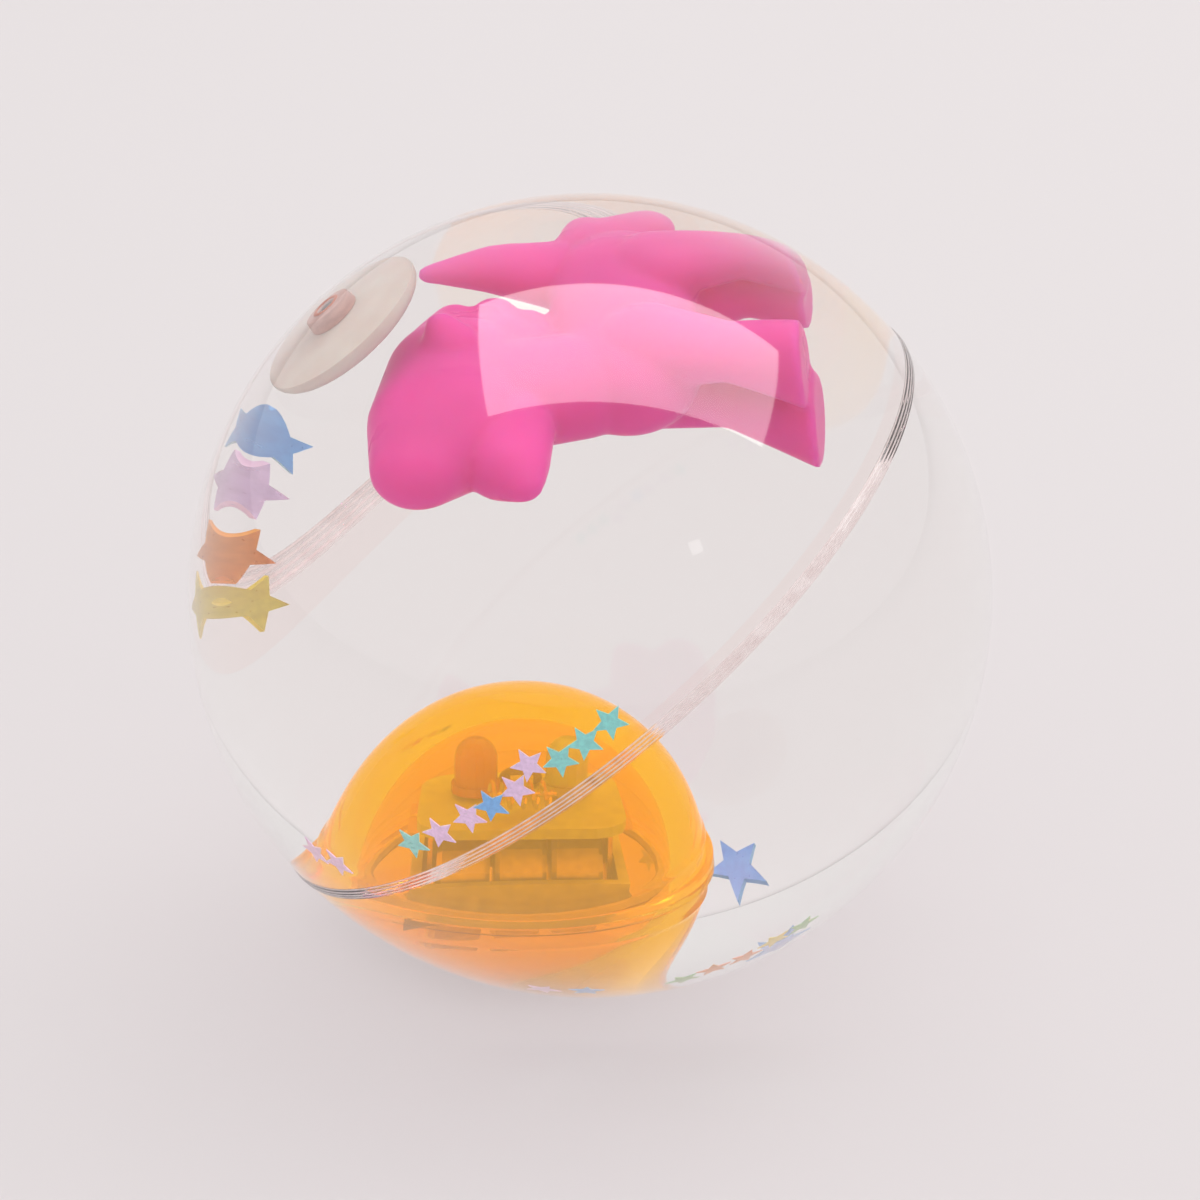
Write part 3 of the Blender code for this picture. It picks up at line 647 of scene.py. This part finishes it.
# (forward, up, side, radius) at both ends of each limb, in mm
BODY_LIMBS = (
    ((-8.5, -1.5, 0, 5.4), (2.6, -1.8, 0, 5.6)),  # barrel
    ((4.0, 2.0, 0, 5.0), (5.5, 8.5, 0, 5.4)),  # neck
    ((2.4, 11.0, 0, 5.8), (9.0, 12.0, 0, 6.7)),  # skull
    ((9.0, 12.0, 0, 6.7), (15.2, 14.7, 0, 4.2)),  # brow
    ((10.0, 8.4, 0, 4.8), (15.2, 7.6, 0, 3.5)),  # muzzle
    ((15.2, 7.6, 0, 3.5), (18.0, 6.4, 0, 1.8)),
    ((3.0, 11.8, 3.6, 2.4), (1.8, 12.8, 5.2, 1.2)),  # ears
    ((3.0, 11.8, -3.6, 2.4), (1.8, 12.8, -5.2, 1.2)),
    ((-0.4, 11.0, 0, 4.2), (-4.6, 11.0, 0, 1.8)),  # mane, in three waves
    ((-0.4, 8.4, 0, 4.2), (-5.2, 8.0, 0, 1.8)),
    ((0.6, 6.4, 0, 3.8), (-4.2, 5.5, 0, 1.4)),
    ((-10.0, 2.5, 0, 3.2), (-11.0, 7.8, 0, 2.2)),  # upper tail
    ((-11.0, 7.8, 0, 2.2), (-10.8, 12.6, 0, 0.9)),
    ((-10.5, 4.0, 0, 2.4), (-12.4, 6.6, 0, 1.2)),
    ((-12.4, 0.5, 0, 3.2), (-14.5, 1.2, 0, 1.8)),  # lower tail
    ((-13.2, -0.5, 0, 2.8), (-15.2, -3.1, 0, 2.0)),
)
# (forward, up, side, radius) at the hip, the ankle and the flat hoof of each leg
LEGS = (
    ((1.5, -3.5, 2.2, 4.2), (3.3, -9.8, 3.2, 3.0), (4.2, -16.2, 3.2, 4.0)),
    ((1.0, -3.5, -2.2, 3.8), (0.8, -9.8, -3.2, 2.7), (3.3, -16.6, -3.2, 4.0)),
    ((-8.6, -4.0, 2.6, 3.4), (-10.0, -10.0, 3.2, 2.6), (-10.2, -15.4, 3.2, 3.2)),
    ((-8.8, -4.0, -1.6, 3.8), (-10.0, -10.0, -0.8, 2.6), (-10.2, -14.9, -0.8, 3.2)),
)


def pony_point(forward, up, side):
    """A point of the pony from its own measures in mm: it lies on its side, back to -X and head to -Y."""
    return PONY_MIDDLE + Vector((-up, -forward, side)) * MM


def add_limb(start, end, flat_end=False):
    """A tapered round limb: two flattened balls, or a ball and a sole, wrapped in their convex hull."""
    deselect()
    flatten = (1.0, 1.0, PONY_FLATNESS)
    first, last = pony_point(*start[:3]), pony_point(*end[:3])
    ball = {"segments": 32, "ring_count": 16, "scale": flatten}
    bpy.ops.mesh.primitive_uv_sphere_add(radius=start[3] * MM, location=first, **ball)
    limb = active()
    if flat_end:
        sole = {"vertices": 32, "rotation": (0, pi / 2, 0), "scale": (PONY_FLATNESS, 1.0, 1.0)}
        bpy.ops.mesh.primitive_circle_add(radius=end[3] * MM, location=last, **sole)
    else:
        bpy.ops.mesh.primitive_uv_sphere_add(radius=end[3] * MM, location=last, **ball)
    limb.select_set(True)
    bpy.context.view_layer.objects.active = limb
    bpy.ops.object.join()
    edit()
    bpy.ops.mesh.convex_hull()
    bpy.ops.object.mode_set(mode="OBJECT")
    return limb


def join(objects):
    """Makes one object of many."""
    deselect()
    for obj in objects:
        obj.select_set(True)
    bpy.context.view_layer.objects.active = objects[0]
    bpy.ops.object.join()
    return objects[0]


class WATERBALL_OT_pony(bpy.types.Operator):
    """Build the toy pony, which floats on its side under the top of the shell"""

    bl_idname = "waterball.pony"
    bl_label = "Toy Pony"

    def execute(self, context):
        limbs = [add_limb(start, end) for start, end in BODY_LIMBS]
        for hip, ankle, hoof in LEGS:
            limbs += [add_limb(hip, ankle), add_limb(ankle, hoof, flat_end=True)]
        pony = join(limbs)
        remesh = pony.modifiers.new("one_body", "REMESH")
        remesh.mode = "VOXEL"
        remesh.voxel_size = 0.4 * MM
        soften = pony.modifiers.new("soften", "SMOOTH")
        soften.factor = 0.5
        soften.iterations = 4
        apply_modifiers(pony)
        settle(pony, "toy_pony")
        pick(pony)
        bpy.ops.object.shade_smooth()
        set_material(pony, pony_finish(context.scene.ball_colours.pony))
        finish_piece(pony, "pony", "pony")
        return {"FINISHED"}


# Light capsule


def capsule_half(name, node, up, sizes):
    """One half of the capsule, with a fine ridge by its flanged rim, and a test for its inner faces."""
    low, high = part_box(node)
    flange = (high.x - low.x) / 2
    radius = flange - sizes.flange_width
    depth = (high.z - RIM.z) if up else (RIM.z - low.z)
    wall = sizes.capsule_wall
    inner_depth, inner_radius = depth - wall, radius - wall
    half, gap, soft = 0.5 * MM, 0.02 * MM, 0.12 * MM
    ridge_height, ridge_half = 1.5 * MM, 0.3 * MM
    outer = [
        (r + sizes.ridge_rise * max(0.0, 1 - abs(z - ridge_height) / ridge_half), z)
        for r, z in arc(radius, 0.0, pi / 2 - asin(half / depth), 120, depth)
    ]
    edge = [(flange - soft, half), (flange, half - soft), (flange, gap + soft / 2), (flange - soft / 2, gap)]
    inner = arc(inner_radius, pi / 2 - asin(gap / inner_depth), 0.0, 30, inner_depth)
    sign = 1 if up else -1
    outline = [(r, sign * z) for r, z in outer + edge + inner]
    obj = turn_profile(name, outline, 2 * sizes.small_steps, Matrix.Translation(RIM))
    smooth(obj, 40)
    limit = radius - wall / 2

    def inside(centre, normal):
        local = centre - RIM
        return normal.dot(local) < 0 and local.xy.length < limit

    return obj, inside


class WATERBALL_OT_capsule(bpy.types.Operator):
    """Build the amber capsule's dome and cup"""

    bl_idname = "waterball.capsule"
    bl_label = "Light Capsule"

    def execute(self, context):
        sizes = context.scene.ball_sizes
        amber = context.scene.ball_colours.amber
        for name, node, up in (("amber_dome", "capsule_dome", True), ("amber_cup", "capsule_cup", False)):
            obj, inside = capsule_half(name, node, up, sizes)
            outer = amber_finish(f"{name}_outside", amber, 1.1, 0.76 if up else 0.84)
            inner = amber_finish(f"{name}_inside", amber, 1.25, 0.93 if up else 0.97)
            set_material(obj, outer, inner)
            give_faces(obj, 1, inside)
            finish_piece(obj, "led_capsule", node, clear=up)
        return {"FINISHED"}


class WATERBALL_OT_flasher(bpy.types.Operator):
    """Finish the cells, the board, the lamps and the motion switch inside the capsule"""

    bl_idname = "waterball.flasher"
    bl_label = "Flasher"

    def execute(self, context):
        steel = metal_finish("cell_steel_brushed", (0.85, 0.84, 0.82), 0.3)
        brass = metal_finish("clip_brass_bright", (0.88, 0.70, 0.36), 0.22)
        wire = metal_finish("switch_wire_bright", (0.78, 0.77, 0.74), 0.2, 3000)
        brown = plain_finish("holder_brown_plastic", (0.85, 0.66, 0.30), 0.5)
        resin = {"Transmission_Weight": 0.6, "IOR": 1.5}
        finishes = {
            "capsule_seal_ring": plain_finish("seal_ring_rubber", (0.80, 0.45, 0.12), 0.5),
            "battery_holder": brown,
            "battery_clip_positive": brass,
            "battery_clip_negative": brass,
            "circuit_board": plain_finish("board_lacquer", (0.62, 0.60, 0.22), 0.35, 1200),
            "led_red": plain_finish("lamp_red_resin", (0.95, 0.22, 0.12), 0.1, **resin),
            "led_blue": plain_finish("lamp_blue_resin", (0.80, 0.90, 1.0), 0.1, **resin),
            "driver_chip": plain_finish("chip_black_resin", (0.06, 0.05, 0.04), 0.3),
            "resistor": plain_finish("resistor_tan", (0.66, 0.50, 0.32), 0.5),
            "switch_pin": wire,
            "switch_spring": wire,
        }
        for number in (1, 2, 3):
            finishes[f"button_cell_{number}"] = steel
        for name, material in finishes.items():
            set_material(frame["nodes"][name], material)
        return {"FINISHED"}


class WATERBALL_OT_confetti(bpy.types.Operator):
    """Finish the star confetti"""

    bl_idname = "waterball.confetti"
    bl_label = "Star Confetti"

    colours = {
        "foil_teal": (0.26, 0.78, 0.66),
        "foil_lilac": (0.88, 0.66, 0.86),
        "foil_blue": (0.16, 0.52, 0.92),
        "foil_green": (0.24, 0.62, 0.22),
        "foil_yellow": (0.86, 0.72, 0.12),
        "foil_orange": (0.88, 0.34, 0.06),
    }

    def execute(self, context):
        slots = {row["node"]: row["material_slot"] for row in frame["record"]["subparts"]}
        made = {slot: star_finish(slot + "_film", colour) for slot, colour in self.colours.items()}
        for name, obj in frame["nodes"].items():
            if name.startswith("confetti_star"):
                set_material(obj, made[slots[name]])
        return {"FINISHED"}


# Stage


class WATERBALL_OT_stage(bpy.types.Operator):
    """Set the pale floor, the soft studio light and the camera"""

    bl_idname = "waterball.stage"
    bl_label = "Stage"

    def execute(self, context):
        self.floor(context.scene.ball_colours.floor)
        self.lights()
        self.sky()
        self.camera()
        context.scene.view_settings.view_transform = "Standard"
        cycles = context.scene.cycles
        cycles.max_bounces = cycles.transmission_bounces = 48
        cycles.transparent_max_bounces = 32
        cycles.glossy_bounces = 8
        cycles.caustics_refractive = cycles.caustics_reflective = False
        cycles.use_denoising = True
        return {"FINISHED"}

    def floor(self, colour):
        deselect()
        bpy.ops.mesh.primitive_plane_add(size=8.0, location=(0, 0, CAD_BOX[0][2] - 0.02 * MM))
        floor = active()
        made = Finish("studio_floor", colour, 0.6)
        made.shader.inputs["Specular IOR Level"].default_value = 0.25
        made.bump(made.noise(400), 0.02 * MM, 0.1)
        set_material(floor, made.material)
        settle(floor, "studio_floor")

    def lights(self):
        """A wide softbox overhead, its bright face for the gloss alone, and a small lamp in front."""
        above, wide = Vector((0.24, 0.30, 1.0)), (1.4, 0.82)
        self.softbox("overhead_softbox", above, wide, 1.7)
        face = self.softbox("softbox_face", above - Vector((0, 0, 0.01)), wide, 1.4)
        face.visible_diffuse = face.visible_transmission = False
        lamp = self.softbox("front_lamp", Vector((0.95, -1.25, 1.22)), (0.12, 0.12), 1.5)
        lamp.rotation_euler = lamp.location.to_track_quat("Z", "Y").to_euler()
        lamp.visible_transmission = False

    def softbox(self, name, place, size, radiance):
        """A rectangular light that faces down, by its radiance."""
        lamp = bpy.data.lights.new(name, "AREA")
        lamp.shape = "RECTANGLE"
        lamp.size, lamp.size_y = size
        lamp.energy = radiance * pi * size[0] * size[1]
        obj = bpy.data.objects.new(name, lamp)
        bpy.context.scene.collection.objects.link(obj)
        obj.location = place
        return obj

    def sky(self):
        """Pale walls as bright as the floor, fading into a slightly dimmer ceiling."""
        world = bpy.data.worlds.new("studio_walls")
        bpy.context.scene.world = world
        world.use_nodes = True
        nodes, links = world.node_tree.nodes, world.node_tree.links
        place = nodes.new("ShaderNodeTexCoord")
        split = nodes.new("ShaderNodeSeparateXYZ")
        ramp = nodes.new("ShaderNodeValToRGB")
        links.new(place.outputs["Generated"], split.inputs["Vector"])
        links.new(split.outputs["Z"], ramp.inputs["Fac"])
        links.new(ramp.outputs["Color"], nodes["Background"].inputs["Color"])
        walls, ceiling = ramp.color_ramp.elements
        walls.position, walls.color = 0.52, (0.81, 0.785, 0.785, 1.0)
        ceiling.position, ceiling.color = 0.62, (0.79, 0.765, 0.765, 1.0)
        nodes["Background"].inputs["Strength"].default_value = 1.0

    def camera(self):
        """A long lens 30 degrees up, nine ball radii away, aimed a touch right of and below the centre."""
        rise, distance = radians(30.0), 9 * BALL
        back = Vector((0, -cos(rise), sin(rise)))
        up = Vector((0, sin(rise), cos(rise)))
        ball_share = 0.6717
        half_view = tan(asin(BALL / distance)) / ball_share
        camera = bpy.data.cameras.new("studio_camera")
        camera.angle = 2 * atan(half_view)
        camera.clip_start, camera.clip_end = 0.01, 50.0
        obj = bpy.data.objects.new("studio_camera", camera)
        bpy.context.scene.collection.objects.link(obj)
        right_share, down_share = 0.0167, 0.0075
        aim = Vector((right_share, 0, 0)) - up * down_share
        aim *= half_view * distance
        obj.location = back * distance
        obj.rotation_euler = (obj.location - aim).to_track_quat("Z", "Y").to_euler()
        bpy.context.scene.camera = obj


class WATERBALL_PT_panel(bpy.types.Panel):
    bl_label = "Water Ball"
    bl_idname = "WATERBALL_PT_panel"
    bl_space_type = "VIEW_3D"
    bl_region_type = "UI"
    bl_category = "Water Ball"

    def draw(self, context):
        for operator in OPERATORS:
            self.layout.operator(operator.bl_idname)


OPERATORS = (
    WATERBALL_OT_stage,
    WATERBALL_OT_shell,
    WATERBALL_OT_weld,
    WATERBALL_OT_valve,
    WATERBALL_OT_water,
    WATERBALL_OT_pony,
    WATERBALL_OT_capsule,
    WATERBALL_OT_flasher,
    WATERBALL_OT_confetti,
)
CLASSES = (BallSizes, BallColours, *OPERATORS, WATERBALL_PT_panel)


def register():
    for cls in CLASSES:
        bpy.utils.register_class(cls)
    bpy.types.Scene.ball_sizes = PointerProperty(type=BallSizes)
    bpy.types.Scene.ball_colours = PointerProperty(type=BallColours)


def unregister():
    del bpy.types.Scene.ball_sizes
    del bpy.types.Scene.ball_colours
    for cls in reversed(CLASSES):
        bpy.utils.unregister_class(cls)


def main():
    register()
    bpy.ops.waterball.stage()
    bpy.ops.waterball.shell()
    bpy.ops.waterball.weld()
    bpy.ops.waterball.valve()
    bpy.ops.waterball.water()
    bpy.ops.waterball.pony()
    bpy.ops.waterball.capsule()
    bpy.ops.waterball.flasher()
    bpy.ops.waterball.confetti()
    deselect()


if __name__ == "__main__":
    main()
